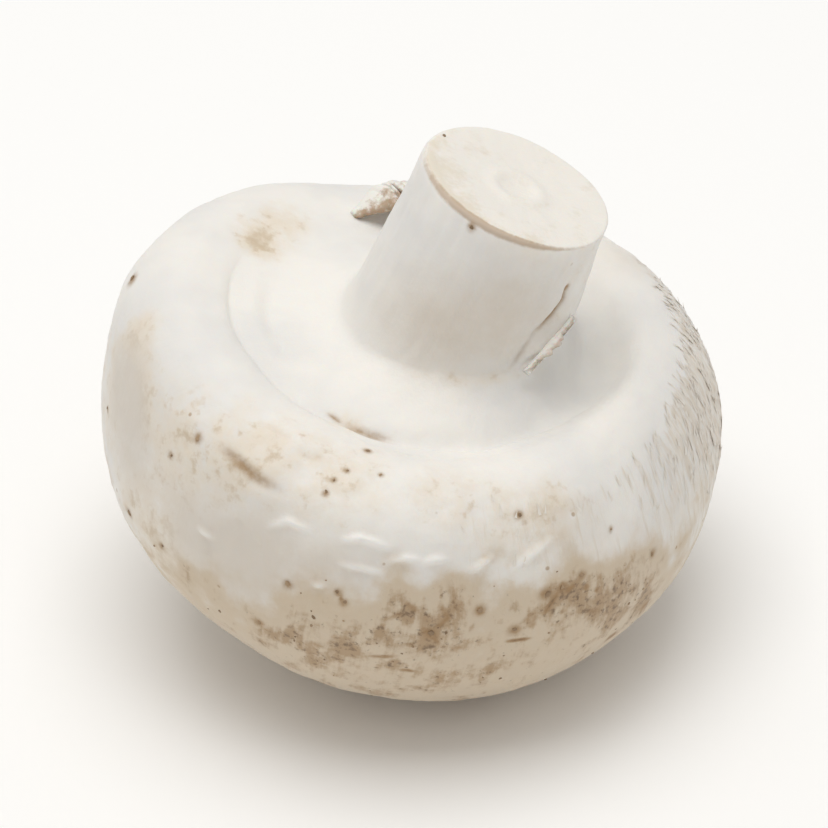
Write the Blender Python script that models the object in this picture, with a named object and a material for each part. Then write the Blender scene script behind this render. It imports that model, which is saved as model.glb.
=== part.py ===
"""A closed-cap white button mushroom, as picked, resting on the crown of its cap with its cut stem up.

Run it with blender --background --python part.py, or from Blender's text editor.

The mushroom grew as one piece, so it is one solid: the crown runs over the rolled rim into the veil, and
the veil into the stem, with no break in the flesh. It is made as a turned form on its own axis, with Z
along the cap's axis and the crown down, then grown out of true, tilted and set down on Z = 0. Metres.
"""

import math

import bmesh
import bpy
from mathutils import Matrix, Vector, noise

# The cap. Heights are from the plane of its widest ring, and the crown lies below that plane.
CAP_RADIUS = 0.0245
CROWN_DEPTH = 0.0177
CROWN_FULLNESS = 2.16
RIM_HEIGHT = 0.0104
CREST_RADIUS = 0.0178

# The margin, where the rolled rim ends, and the veil that closes the cap from there to the stem. The
# veil's curve leaves the margin a share of its own breadth inwards, and meets the stem from below.
MARGIN_RADIUS = 0.0154
MARGIN_DROP = 0.0009
VEIL_DIP = 0.0007
VEIL_LEAVING = 0.40
VEIL_MEETING = 0.05
VEIL_CLIMB = 0.0010

# The stem, from where the veil leaves it to the knife cut.
STEM_BASE_RADIUS = 0.0084
STEM_CUT_RADIUS = 0.0077
STEM_FOOT_HEIGHT = 0.0122
CUT_HEIGHT = 0.0245
CUT_EDGE_RADIUS = 0.0003
CUT_RING_SHARE = 0.55

# How it grew out of true. The rim stands higher on one side and sags on two, its opening is off centre,
# and a shoulder stands out at the back. The stem leans about a pivot in the cap, and the veil climbs
# further up one side of it.
RIM_RISE = 0.15
RIM_RISE_AZIMUTH = math.radians(-50)
RIM_SAG = 0.095
RIM_SAG_AZIMUTH = math.radians(99)
OFF_CENTRE = Vector((-0.0016, 0.0002, 0))
OVAL = 0.022
OVAL_AZIMUTH = math.radians(30)
THREE_LOBES = 0.018
LOBE_AZIMUTH = math.radians(40)
SHOULDER_SPREAD = 0.032
SHOULDER_RISE = 0.08
SHOULDER_AZIMUTH = math.radians(139)
SHOULDER_REACH = math.radians(33)
PIVOT_HEIGHT = 0.0070
STEM_LEAN = Vector((math.radians(-6.0), math.radians(10.5)))
FOOT_SKEW = 0.0024
FOOT_SKEW_AZIMUTH = math.radians(10)
LUMP_HEIGHT = 0.00035
LUMP_PITCH = 0.011

# The pocket beside the stem, where the veil tore away from it.
POCKET_PLACE = Vector((0.0118, -0.0015, 0.0105))
POCKET_REACH = 0.0042
POCKET_DEPTH = 0.0016

# How it lies: the cap tips right and to the front, onto a patch that its own weight has flattened.
TIP_RIGHT = math.radians(11.5)
TIP_FRONT = math.radians(6.0)
FLAT_DEPTH = 0.0009

# How finely the solid is faceted.
AZIMUTH_STEPS = 64
CROWN_STEPS = 13
RIM_STEPS = 8
MARGIN_STEPS = 4
VEIL_STEPS = 8
STEM_STEPS = 4

FLESH_COLOUR = (0.84, 0.80, 0.73, 1.0)
FLESH_ROUGHNESS = 0.55


def clear_scene():
    """Takes every object out of the scene."""
    for thing in list(bpy.data.objects):
        bpy.data.objects.remove(thing)


def smooth_step(low, high, value):
    """0 below low, 1 above high, and a smooth rise between them."""
    share = min(1.0, max(0.0, (value - low) / (high - low)))
    return share * share * (3 - 2 * share)


def ellipse_arc(centre, radii, start, end, steps, fullness=2.0):
    """Points of an ellipse about centre, from the start angle to the end angle in degrees.

    A fullness over 2 swells it towards the corners of its box.
    """
    found = []
    for i in range(steps + 1):
        angle = math.radians(start + (end - start) * i / steps)
        sides = [math.copysign(abs(s) ** (2 / fullness), s) for s in (math.cos(angle), math.sin(angle))]
        found.append((centre[0] + radii[0] * sides[0], centre[1] + radii[1] * sides[1]))
    return found


def bezier(corners, steps):
    """Points of the cubic curve with these four control points."""
    found = []
    for i in range(steps + 1):
        t = i / steps
        weights = ((1 - t) ** 3, 3 * t * (1 - t) ** 2, 3 * t * t * (1 - t), t**3)
        found.append(tuple(sum(w * c[k] for w, c in zip(weights, corners)) for k in range(2)))
    return found


def outline():
    """The half outline as (radius, height) points, from the crown's pole to the middle of the cut."""
    crown = ellipse_arc((0, 0), (CAP_RADIUS, CROWN_DEPTH), -90, 0, CROWN_STEPS, CROWN_FULLNESS)
    crown[0] = (0, -CROWN_DEPTH)
    rim = ellipse_arc((CREST_RADIUS, 0), (CAP_RADIUS - CREST_RADIUS, RIM_HEIGHT), 0, 90, RIM_STEPS)
    margin = ellipse_arc(
        (CREST_RADIUS, RIM_HEIGHT - MARGIN_DROP),
        (CREST_RADIUS - MARGIN_RADIUS, MARGIN_DROP),
        90,
        180,
        MARGIN_STEPS,
    )
    edge = margin[-1]
    foot = (STEM_BASE_RADIUS, STEM_FOOT_HEIGHT)
    reach = edge[0] - foot[0]
    veil = bezier(
        (
            edge,
            (edge[0] - VEIL_LEAVING * reach, edge[1] - VEIL_DIP),
            (foot[0] + VEIL_MEETING * reach, foot[1] - VEIL_CLIMB),
            foot,
        ),
        VEIL_STEPS,
    )
    top = (STEM_CUT_RADIUS, CUT_HEIGHT - CUT_EDGE_RADIUS)
    stem = [
        tuple(foot[k] + (top[k] - foot[k]) * i / STEM_STEPS for k in range(2))
        for i in range(STEM_STEPS + 1)
    ]
    cut = [
        (STEM_CUT_RADIUS - CUT_EDGE_RADIUS, CUT_HEIGHT),
        (CUT_RING_SHARE * STEM_CUT_RADIUS, CUT_HEIGHT),
        (0, CUT_HEIGHT),
    ]
    return crown + rim[1:] + margin[1:] + veil[1:] + stem[1:] + cut


def turned_form():
    """The outline spun into an even, closed form about Z."""
    form = bmesh.new()
    points = [form.verts.new((radius, 0, height)) for radius, height in outline()]
    edges = [form.edges.new(pair) for pair in zip(points, points[1:])]
    bmesh.ops.spin(
        form,
        geom=points + edges,
        cent=(0, 0, 0),
        axis=(0, 0, 1),
        dvec=(0, 0, 0),
        angle=math.tau,
        steps=AZIMUTH_STEPS,
        use_merge=True,
    )
    bmesh.ops.remove_doubles(form, verts=form.verts, dist=1e-6)
    bmesh.ops.recalc_face_normals(form, faces=form.faces)
    return form


def shoulder(azimuth):
    """How much of the shoulder there is at this azimuth, from 0 to 1."""
    turn = math.remainder(azimuth - SHOULDER_AZIMUTH, math.tau)
    return math.exp(-((turn / SHOULDER_REACH) ** 2))


def out_of_round(point):
    """The cap's plan is a little oval and a little three-lobed, and its rim isn't level."""
    azimuth = math.atan2(point.y, point.x)
    radius = math.hypot(point.x, point.y)
    cap_share = smooth_step(STEM_BASE_RADIUS, CREST_RADIUS, radius)
    if point.z < 0:
        cap_share = 1.0
    spread = OVAL * math.cos(2 * (azimuth - OVAL_AZIMUTH))
    spread += THREE_LOBES * math.cos(3 * (azimuth - LOBE_AZIMUTH))
    spread += SHOULDER_SPREAD * shoulder(azimuth)
    rise = RIM_RISE * math.cos(azimuth - RIM_RISE_AZIMUTH)
    rise -= RIM_SAG * math.cos(2 * (azimuth - RIM_SAG_AZIMUTH))
    rise += SHOULDER_RISE * shoulder(azimuth)
    height = point.z * (1 + rise * cap_share) if point.z > 0 else point.z
    moved = Vector((point.x * (1 + spread * cap_share), point.y * (1 + spread * cap_share), height))
    opening = cap_share * smooth_step(0, RIM_HEIGHT, point.z)
    return moved + OFF_CENTRE * opening


def leaning(point):
    """The stem leans, and the veil beside it goes part of the way with it."""
    radius = math.hypot(point.x, point.y)
    near_stem = 1 - smooth_step(STEM_BASE_RADIUS, MARGIN_RADIUS, radius)
    share = near_stem * smooth_step(0.5 * PIVOT_HEIGHT, STEM_FOOT_HEIGHT, point.z)
    pivot = Vector((0, 0, PIVOT_HEIGHT))
    turn = Matrix.Rotation(STEM_LEAN.y * share, 3, "Y") @ Matrix.Rotation(STEM_LEAN.x * share, 3, "X")
    return pivot + turn @ (point - pivot)


def skewed(point):
    """The veil climbs further up one side of the stem than the other, fading out towards rim and cut."""
    radius = math.hypot(point.x, point.y)
    share = 1 - smooth_step(STEM_BASE_RADIUS, MARGIN_RADIUS, radius)
    share *= smooth_step(0.5 * PIVOT_HEIGHT, STEM_FOOT_HEIGHT, point.z)
    share *= 1 - smooth_step(STEM_FOOT_HEIGHT, CUT_HEIGHT - CUT_EDGE_RADIUS, point.z)
    azimuth = math.atan2(point.y, point.x)
    climb = FOOT_SKEW * math.cos(azimuth - FOOT_SKEW_AZIMUTH)
    return point + Vector((0, 0, share * climb))


def lumped(point, normal):
    """Broad, low lumps, with the pocket where the veil tore."""
    lump = LUMP_HEIGHT * noise.noise(point / LUMP_PITCH)
    away = (point - POCKET_PLACE).length / POCKET_REACH
    pocket = POCKET_DEPTH * math.exp(-away * away)
    return point + normal * (lump - pocket)


def grow(form):
    """Moves each point of the even form to where it really grew."""
    for vertex in form.verts:
        vertex.co = out_of_round(skewed(vertex.co))
    form.normal_update()
    for vertex in form.verts:
        vertex.co = lumped(vertex.co, vertex.normal)
    for vertex in form.verts:
        vertex.co = leaning(vertex.co)


def set_down(form):
    """Tips the form, flattens the patch that it rests on, and centres it over the origin on Z = 0."""
    tip = Matrix.Rotation(TIP_FRONT, 4, "X") @ Matrix.Rotation(TIP_RIGHT, 4, "Y")
    bmesh.ops.transform(form, matrix=tip, verts=form.verts)
    lowest = min(vertex.co.z for vertex in form.verts)
    patch = bmesh.ops.bisect_plane(
        form,
        geom=form.verts[:] + form.edges[:] + form.faces[:],
        plane_co=(0, 0, lowest + FLAT_DEPTH),
        plane_no=(0, 0, 1),
        clear_inner=True,
    )
    ring = [cut for cut in patch["geom_cut"] if isinstance(cut, bmesh.types.BMEdge)]
    bmesh.ops.edgeloop_fill(form, edges=ring)
    sides = [[vertex.co[k] for vertex in form.verts] for k in range(2)]
    middle = [(min(side) + max(side)) / 2 for side in sides]
    home = Matrix.Translation((-middle[0], -middle[1], -lowest - FLAT_DEPTH))
    bmesh.ops.transform(form, matrix=home, verts=form.verts)


def flesh():
    """The white skin and flesh, which is one material all over."""
    material = bpy.data.materials.new("white_flesh")
    material.use_nodes = True
    shader = material.node_tree.nodes["Principled BSDF"]
    shader.inputs["Base Color"].default_value = FLESH_COLOUR
    shader.inputs["Roughness"].default_value = FLESH_ROUGHNESS
    shader.inputs["Metallic"].default_value = 0.0
    return material


def mushroom():
    """The whole mushroom as one named solid."""
    form = turned_form()
    grow(form)
    set_down(form)
    bmesh.ops.triangulate(form, faces=form.faces)
    bmesh.ops.recalc_face_normals(form, faces=form.faces)
    mesh = bpy.data.meshes.new("mushroom")
    form.to_mesh(mesh)
    form.free()
    mesh.shade_smooth()
    mesh.set_sharp_from_angle(angle=math.radians(50))
    mesh.materials.append(flesh())
    solid = bpy.data.objects.new("mushroom", mesh)
    bpy.context.scene.collection.objects.link(solid)
    return solid


clear_scene()
mushroom()
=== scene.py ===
"""The looks of a closed-cap white button mushroom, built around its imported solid.

The mushroom lies on the crown of its cap with its cut stem up. It grew as one piece, so its skin, veil,
stem and cut are one closed mesh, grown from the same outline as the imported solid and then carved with
what a real one shows: the groove inside the margin, wrinkles, a crease, scales, fibres and the dished
cut. What stands off the skin are pieces of their own: torn scraps of veil, the fibrils that roughen the
rim, and grains of casing soil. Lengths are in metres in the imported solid's frame, with +Z up.
"""

import logging
import math
from dataclasses import dataclass
from enum import Enum
from random import Random

import bmesh
import bpy
import numpy as np
from mathutils import Matrix, Vector, noise
from mathutils.bvhtree import BVHTree


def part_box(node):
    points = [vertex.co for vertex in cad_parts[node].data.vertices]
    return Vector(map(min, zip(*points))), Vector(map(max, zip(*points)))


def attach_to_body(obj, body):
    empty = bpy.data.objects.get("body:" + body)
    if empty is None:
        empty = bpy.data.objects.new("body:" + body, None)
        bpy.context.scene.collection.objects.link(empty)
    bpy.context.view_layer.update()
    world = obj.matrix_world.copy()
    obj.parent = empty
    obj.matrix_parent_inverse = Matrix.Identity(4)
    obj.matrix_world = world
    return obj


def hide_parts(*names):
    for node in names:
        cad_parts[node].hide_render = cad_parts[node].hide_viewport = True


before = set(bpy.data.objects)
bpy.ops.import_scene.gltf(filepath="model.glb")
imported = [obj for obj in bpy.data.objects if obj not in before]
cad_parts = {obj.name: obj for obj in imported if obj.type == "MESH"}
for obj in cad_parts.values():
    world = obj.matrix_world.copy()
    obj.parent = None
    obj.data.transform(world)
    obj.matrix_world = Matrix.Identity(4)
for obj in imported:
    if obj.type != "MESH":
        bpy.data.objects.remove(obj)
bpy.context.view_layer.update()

LOG = logging.getLogger("mushroom")
BODY = "root"
NODE = "mushroom"
MM = 0.001
SAME_PLACE = 1e-9

Colour = tuple[float, float, float]
Point = tuple[float, float, float]


# Shader maths ---------------------------------------------------------------------------------------


class Value:
    """A number that varies over a surface, with arithmetic that adds the nodes for it."""

    def __init__(self, bench: "Bench", socket: bpy.types.NodeSocket) -> None:
        """Keeps the bench that adds the nodes, and the socket that holds the number."""
        self.bench = bench
        self.socket = socket

    def _maths(self, operation: str, first: object, second: object) -> "Value":
        """Adds one Math node over two values or numbers."""
        node = self.bench.node("ShaderNodeMath", {"operation": operation}, {0: first, 1: second})
        return Value(self.bench, node.outputs[0])

    def __add__(self, other: object) -> "Value":
        """This value plus another."""
        return self._maths("ADD", self, other)

    __radd__ = __add__

    def __sub__(self, other: object) -> "Value":
        """This value minus another."""
        return self._maths("SUBTRACT", self, other)

    def __rsub__(self, other: object) -> "Value":
        """Another value minus this one."""
        return self._maths("SUBTRACT", other, self)

    def __mul__(self, other: object) -> "Value":
        """This value times another."""
        return self._maths("MULTIPLY", self, other)

    __rmul__ = __mul__

    def smooth(self, low: float, high: float) -> "Value":
        """0 where this value is under low, 1 where it is over high, and a smooth rise between.

        Args:
            low: the value at which the rise begins.
            high: the value at which it ends.

        Returns:
            The smooth step, from 0 to 1.
        """
        settings = {"interpolation_type": "SMOOTHSTEP"}
        inputs = {0: self, 1: low, 2: high, 3: 0.0, 4: 1.0}
        return Value(self.bench, self.bench.node("ShaderNodeMapRange", settings, inputs).outputs[0])


class Bench:
    """A material's nodes, with the Principled shader that they feed."""

    def __init__(self, name: str) -> None:
        """Starts a material of that name.

        Args:
            name: the material's name.
        """
        self.material = bpy.data.materials.new(name)
        self.material.use_nodes = True
        self.tree = self.material.node_tree
        self.shader = self.tree.nodes["Principled BSDF"]

    def node(self, kind: str, settings: dict[str, object], inputs: dict[object, object]) -> bpy.types.Node:
        """Adds any node.

        Args:
            kind: the node's Blender type.
            settings: its properties by name, which are set first.
            inputs: values, sockets or Value objects, by the input's name or number.

        Returns:
            The node.
        """
        made = self.tree.nodes.new(kind)
        for name, setting in settings.items():
            setattr(made, name, setting)
        for key, given in inputs.items():
            self.feed(made.inputs[key], given)
        return made

    def feed(self, socket: bpy.types.NodeSocket, given: object) -> None:
        """Links a value or a socket to an input, or sets a constant on it."""
        if isinstance(given, Value):
            self.tree.links.new(given.socket, socket)
        elif isinstance(given, bpy.types.NodeSocket):
            self.tree.links.new(given, socket)
        elif isinstance(given, tuple) and len(given) == 3 and socket.type == "RGBA":
            socket.default_value = (*given, 1.0)
        else:
            socket.default_value = given

    def place(self) -> bpy.types.NodeSocket:
        """The point on the surface, in metres in the object's own frame."""
        return self.node("ShaderNodeTexCoord", {}, {}).outputs["Object"]

    def painted(self, name: str) -> Value:
        """The number painted on the mesh under that name."""
        node = self.node("ShaderNodeAttribute", {"attribute_name": name}, {})
        return Value(self, node.outputs["Fac"])

    def painted_vector(self, name: str) -> bpy.types.NodeSocket:
        """The vector painted on the mesh under that name."""
        return self.node("ShaderNodeAttribute", {"attribute_name": name}, {}).outputs["Vector"]

    def noise(
        self, where: bpy.types.NodeSocket, pitch: float, detail: float = 4.0, rough: float = 0.55
    ) -> Value:
        """Cloudy noise around 0.5.

        Args:
            where: the point that it is read at.
            pitch: the size of its largest lumps, in the units of where.
            detail: how many octaves finer it goes.
            rough: how strong each octave is against the one before.

        Returns:
            The noise, from 0 to 1.
        """
        inputs = {"Vector": where, "Scale": 1.0 / pitch, "Detail": detail, "Roughness": rough}
        return Value(self, self.node("ShaderNodeTexNoise", {}, inputs).outputs[0])

    def dots(self, where: bpy.types.NodeSocket, pitch: float, radius: float, share: float) -> Value:
        """Small round dots strewn at random.

        Args:
            where: the point that they are read at.
            pitch: the size of the cell that can hold one dot.
            radius: a dot's radius, as a share of the pitch.
            share: the share of the cells that hold one.

        Returns:
            1 in a dot and 0 outside, with soft edges.
        """
        cells = self.node("ShaderNodeTexVoronoi", {}, {"Vector": where, "Scale": 1.0 / pitch})
        spread = Value(self, cells.outputs["Distance"])
        chance = self.node("ShaderNodeSeparateColor", {}, {"Color": cells.outputs["Color"]})
        kept = Value(self, chance.outputs[0]).smooth(1.0 - share, 1.0 - 0.7 * share)
        return (1.0 - spread.smooth(0.45 * radius, radius)) * kept

    def mix(self, share: object, low: object, high: object) -> bpy.types.NodeSocket:
        """A colour that goes from low to high.

        Args:
            share: how far, from 0 to 1.
            low: the colour at 0.
            high: the colour at 1.

        Returns:
            The colour's socket.
        """
        settings = {"data_type": "RGBA", "blend_type": "MIX", "clamp_factor": True}
        return self.node("ShaderNodeMix", settings, {0: share, 6: low, 7: high}).outputs[2]

    def bump(self, height: Value, depth: float, strength: float) -> None:
        """Feeds the shader's normal from a height.

        Args:
            height: the height, from 0 to 1.
            depth: how deep 1 is, in metres.
            strength: how much of it shows.
        """
        inputs = {"Height": height, "Distance": depth, "Strength": strength}
        self.feed(self.shader.inputs["Normal"], self.node("ShaderNodeBump", {}, inputs).outputs[0])

    def finish(self, **inputs: object) -> bpy.types.Material:
        """Feeds the shader's inputs, named with underscores for spaces.

        Returns:
            The material.
        """
        for name, given in inputs.items():
            self.feed(self.shader.inputs[name.replace("_", " ")], given)
        return self.material


class Paint(Enum):
    """The fields that are painted on the mushroom's mesh for its skin to read."""

    GRAIN = "grain"
    # Yellowed skin, with painted shade on the stem and a painted reflection low on the left.
    WARM = "warm"
    # Soil stains, and painted shade low on the front.
    STAIN_AND_SHADE = "stain_and_shade"
    FIBRE = "fibre"
    # Browning along creases, strokes, grains and the margin; in the creases partly painted shade.
    GROOVE = "groove"
    # Painted shade: greyish fawn where the skin is in shade.
    PAINTED_SHADE = "painted_shade"
    # Painted highlight on the crests of wrinkles.
    PALE = "pale"
    CUT = "cut"
    CUT_EDGE = "cut_edge"


# Finishes -------------------------------------------------------------------------------------------


@dataclass(frozen=True)
class SkinFinish:
    """The mushroom's skin, its flesh where the knife went through, what has stained them, and painted shade
    and painted highlights on them.
    """

    white: Colour = (0.87, 0.845, 0.80)
    # The white of the painted highlights on wrinkle crests.
    highlight_white: Colour = (0.94, 0.925, 0.895)
    cool: Colour = (0.79, 0.775, 0.75)
    # The greyish fawn of painted shade.
    shade_beige: Colour = (0.70, 0.64, 0.565)
    cream: Colour = (0.80, 0.725, 0.62)
    tan: Colour = (0.61, 0.495, 0.355)
    brown: Colour = (0.36, 0.22, 0.10)
    dark: Colour = (0.13, 0.075, 0.035)
    cut_flesh: Colour = (0.865, 0.83, 0.77)
    cut_tan: Colour = (0.76, 0.69, 0.575)
    roughness: float = 0.55
    glow: float = 0.22
    glow_depth: float = 0.0016
    glow_reach: Point = (1.0, 0.72, 0.5)
    down: float = 0.12
    cloud_pitch: float = 0.011
    mottle_pitch: float = 0.0024
    freckle_pitch: float = 0.0013
    fine_pitch: float = 0.0005
    thread_pitch: float = 0.022
    speck_pitch: float = 0.0021
    speck_radius: float = 0.11
    speck_share: float = 0.16
    bump_depth: float = 0.00016
    bump_strength: float = 0.55

    def material(self) -> bpy.types.Material:
        """The skin's material, which reads the painted fields.

        Returns:
            The material.
        """
        bench = Bench("mushroom_skin")
        where = bench.place()
        grain = bench.painted_vector(Paint.GRAIN.value)
        clouds = bench.noise(where, self.cloud_pitch, 3.0)
        mottling = bench.noise(where, self.mottle_pitch, 5.0, 0.62)
        fine = bench.noise(where, self.fine_pitch, 4.0, 0.6)
        threads = bench.noise(grain, self.thread_pitch, 3.0, 0.6)
        colour = self._skin(bench, where, clouds, mottling, fine, threads)
        colour = self._cut(bench, colour, mottling, fine)
        fibre = bench.painted(Paint.FIBRE.value)
        whole = 1 - bench.painted(Paint.CUT.value).smooth(0.2, 0.5)
        height = fine * 0.35 + mottling * 0.35 + threads * (0.18 + fibre * 0.5) * whole
        bench.bump(height, self.bump_depth, self.bump_strength)
        return bench.finish(
            Base_Color=colour,
            Roughness=self.roughness + mottling * 0.12 - bench.painted(Paint.STAIN_AND_SHADE.value) * 0.08,
            Subsurface_Weight=self.glow,
            Subsurface_Scale=self.glow_depth,
            Subsurface_Radius=self.glow_reach,
            Sheen_Weight=self.down,
        )

    def _skin(
        self,
        bench: Bench,
        where: bpy.types.NodeSocket,
        clouds: Value,
        mottling: Value,
        fine: Value,
        threads: Value,
    ) -> bpy.types.NodeSocket:
        """The colour of skin and veil.

        Args:
            bench: the material's nodes.
            where: the point on the surface.
            clouds: broad noise.
            mottling: noise of about 2 mm.
            fine: noise of about 0.5 mm.
            threads: noise drawn out along the fibres.

        Returns:
            The colour's socket.
        """
        warm = bench.painted(Paint.WARM.value)
        stain_and_shade = bench.painted(Paint.STAIN_AND_SHADE.value)
        fibre = bench.painted(Paint.FIBRE.value)
        groove = bench.painted(Paint.GROOVE.value)
        colour = bench.mix(clouds.smooth(0.38, 0.66), self.white, self.cool)
        creamy = (warm + (mottling - 0.5) * 2.4 * warm + (mottling - 0.5) * 0.4).smooth(0.06, 0.9)
        colour = bench.mix(creamy, colour, self.cream)
        tawny = (warm + (mottling - 0.5) * 1.6 + (fine - 0.5) * 0.5).smooth(0.80, 1.45)
        colour = bench.mix(tawny * 0.8, colour, self.tan)
        freckles = bench.noise(where, self.freckle_pitch, 3.0, 0.6)
        freckled = (warm * 0.45 + (freckles - 0.5) * 2.4 + (mottling - 0.5) * 1.2).smooth(0.34, 0.9)
        colour = bench.mix(freckled * 0.8 * warm.smooth(0.05, 0.6), colour, self.tan)
        # Painted shade: greyish fawn on the shaded band below the shoulder, the stem's front, the left edge
        # and the scaly rim.
        painted_shade = bench.painted(Paint.PAINTED_SHADE.value) + fibre * 0.3
        colour = bench.mix((painted_shade + (mottling - 0.5) * 0.8 * painted_shade).smooth(0.0, 1.0), colour, self.shade_beige)
        scaly = (fibre + (threads - 0.5) * 2.2).smooth(0.55, 1.25) * fibre.smooth(0.0, 0.3)
        colour = bench.mix(scaly * 0.5, colour, self.tan)
        # Broad tan from that field: soil stains, and painted shade low on the front.
        washed = (stain_and_shade * 1.1 + (mottling - 0.5) * stain_and_shade.smooth(0.0, 0.4)).smooth(0.02, 0.8)
        colour = bench.mix(washed * 0.9, colour, self.tan)
        blotched = (stain_and_shade + (mottling - 0.5) * 2.6 + (threads - 0.5) * 0.9).smooth(0.86, 1.45)
        colour = bench.mix(blotched * 0.72, colour, self.brown)
        flecked = (stain_and_shade * 0.9 + (fine - 0.5) * 3.4 + (mottling - 0.5) * 1.8).smooth(1.22, 1.85)
        colour = bench.mix(flecked * 0.7, colour, self.dark)
        # Painted highlight: the crests of the wrinkles painted whiter.
        colour = bench.mix(bench.painted(Paint.PALE.value) * 0.6, colour, self.highlight_white)
        specks = bench.dots(where, self.speck_pitch, self.speck_radius, self.speck_share)
        specks = specks * (warm * 0.8 + stain_and_shade).smooth(0.05, 0.5)
        colour = bench.mix(specks * 0.75, colour, self.brown)
        # Browning along creases, strokes, grains and the margin; in the creases it is partly painted shade.
        grime_and_crease_shade = groove + (fine - 0.5) * 0.9 * groove
        colour = bench.mix(grime_and_crease_shade.smooth(0.05, 0.85), colour, self.brown)
        return bench.mix(grime_and_crease_shade.smooth(0.7, 1.3) * 0.7, colour, self.dark)

    def _cut(
        self, bench: Bench, skin: bpy.types.NodeSocket, mottling: Value, fine: Value
    ) -> bpy.types.NodeSocket:
        """The colour of skin and cut together.

        Args:
            bench: the material's nodes.
            skin: the colour of the skin.
            mottling: noise of about 2 mm.
            fine: noise of about 0.5 mm.

        Returns:
            The colour's socket.
        """
        cut = bench.painted(Paint.CUT.value)
        edge = bench.painted(Paint.CUT_EDGE.value)
        dried = (cut * 1.2 + (mottling - 0.5) * 1.9 + (fine - 0.5) * 0.7).smooth(0.78, 1.45)
        flesh = bench.mix(dried * 0.8, self.cut_flesh, self.cut_tan)
        colour = bench.mix(cut.smooth(0.2, 0.5), skin, flesh)
        browned = (edge + (fine - 0.5) * 0.9 * edge).smooth(0.25, 0.8)
        return bench.mix(browned * 0.62, colour, self.brown)


@dataclass(frozen=True)
class ScrapFinish:
    """A torn scrap of veil: white flesh that has browned and dried along its ragged edge."""

    flesh: Colour = (0.87, 0.84, 0.79)
    edge: Colour = (0.40, 0.28, 0.17)
    browning: float = 0.5
    fine_pitch: float = 0.0006
    bump_depth: float = 0.00012
    glow: float = 0.2
    glow_depth: float = 0.0012

    def material(self, name: str) -> bpy.types.Material:
        """The scrap's material, which reads how near its edge each point is.

        Args:
            name: the material's name.

        Returns:
            The material.
        """
        bench = Bench(name)
        fine = bench.noise(bench.place(), self.fine_pitch, 4.0, 0.6)
        edge = bench.painted(Paint.CUT_EDGE.value)
        browned = (edge + (fine - 0.5) * 0.7).smooth(0.72, 1.0)
        bench.bump(fine, self.bump_depth, 0.5)
        return bench.finish(
            Base_Color=bench.mix(browned * self.browning, self.flesh, self.edge),
            Roughness=0.62 + fine * 0.1,
            Subsurface_Weight=self.glow,
            Subsurface_Scale=self.glow_depth,
        )


@dataclass(frozen=True)
class FibrilFinish:
    """The scales that lie along the skin: the skin's own colour, weathered to tan at the tips."""

    root: Colour = (0.80, 0.755, 0.69)
    tip: Colour = (0.74, 0.675, 0.59)
    mottle_pitch: float = 0.0018
    bump_depth: float = 0.00008

    def material(self) -> bpy.types.Material:
        """The fibrils' material.

        Returns:
            The material.
        """
        bench = Bench("skin_fibrils")
        mottling = bench.noise(bench.place(), self.mottle_pitch)
        tips = bench.painted(Paint.CUT_EDGE.value)
        bench.bump(mottling, self.bump_depth, 0.4)
        return bench.finish(
            Base_Color=bench.mix((tips * 0.7 + mottling * 0.6).smooth(0.3, 1.1), self.root, self.tip),
            Roughness=0.62 + mottling * 0.1,
        )


@dataclass(frozen=True)
class SoilFinish:
    """Grains of dark, peaty casing soil, damp enough to shine a little."""

    peat: Colour = (0.23, 0.155, 0.09)
    loam: Colour = (0.40, 0.28, 0.17)
    tone_pitch: float = 0.0016
    grit_pitch: float = 0.00018
    bump_depth: float = 0.00005

    def material(self) -> bpy.types.Material:
        """The soil's material.

        Returns:
            The material.
        """
        bench = Bench("casing_soil")
        where = bench.place()
        tone = bench.noise(where, self.tone_pitch, 2.0)
        grit = bench.noise(where, self.grit_pitch, 3.0)
        bench.bump(grit, self.bump_depth, 0.6)
        return bench.finish(
            Base_Color=bench.mix(tone.smooth(0.35, 0.65), self.peat, self.loam),
            Roughness=0.6 + grit * 0.25,
        )


@dataclass(frozen=True)
class FloorFinish:
    """A plain, pale, matt floor."""

    colour: Colour = (0.99, 0.99, 0.985)
    patch_size: float = 0.4
    patch_shade: float = 0.99

    def material(self) -> bpy.types.Material:
        """The floor's material.

        Returns:
            The material.
        """
        bench = Bench("pale_floor")
        tone = bench.noise(bench.place(), self.patch_size, 1.0)
        shade = tuple(self.patch_shade * part for part in self.colour)
        return bench.finish(Base_Color=bench.mix(tone, self.colour, shade), Roughness=0.9)


# Growth ---------------------------------------------------------------------------------------------


def smooth_step(low: float, high: float, value: float) -> float:
    """0 below low, 1 above high, and a smooth rise between them."""
    share = min(1.0, max(0.0, (value - low) / (high - low)))
    return share * share * (3 - 2 * share)


def ellipse_arc(
    centre: tuple[float, float],
    radii: tuple[float, float],
    start: float,
    end: float,
    steps: int,
    fullness: float = 2.0,
    crowding: float = 1.0,
) -> list[tuple[float, float]]:
    """Points of an ellipse.

    Args:
        centre: its centre, as (radius, height).
        radii: its half sizes, along the radius and the height.
        start: the first point's angle in degrees.
        end: the last point's angle in degrees.
        steps: how many stretches the arc is cut into.
        fullness: over 2, it swells towards the corners of its box.
        crowding: over 1, the stretches get shorter towards the end.

    Returns:
        The points, as (radius, height).
    """
    found = []
    for i in range(steps + 1):
        share = 1 - (1 - i / steps) ** crowding
        angle = math.radians(start + (end - start) * share)
        sides = [math.copysign(abs(s) ** (2 / fullness), s) for s in (math.cos(angle), math.sin(angle))]
        found.append((centre[0] + radii[0] * sides[0], centre[1] + radii[1] * sides[1]))
    return found


def bezier(corners: tuple[tuple[float, float], ...], share: float) -> tuple[float, float]:
    """The point at a share, from 0 to 1, of the cubic curve with these four control points."""
    rest = 1 - share
    weights = (rest**3, 3 * share * rest**2, 3 * share * share * rest, share**3)
    return tuple(sum(w * corner[k] for w, corner in zip(weights, corners)) for k in range(2))


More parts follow.
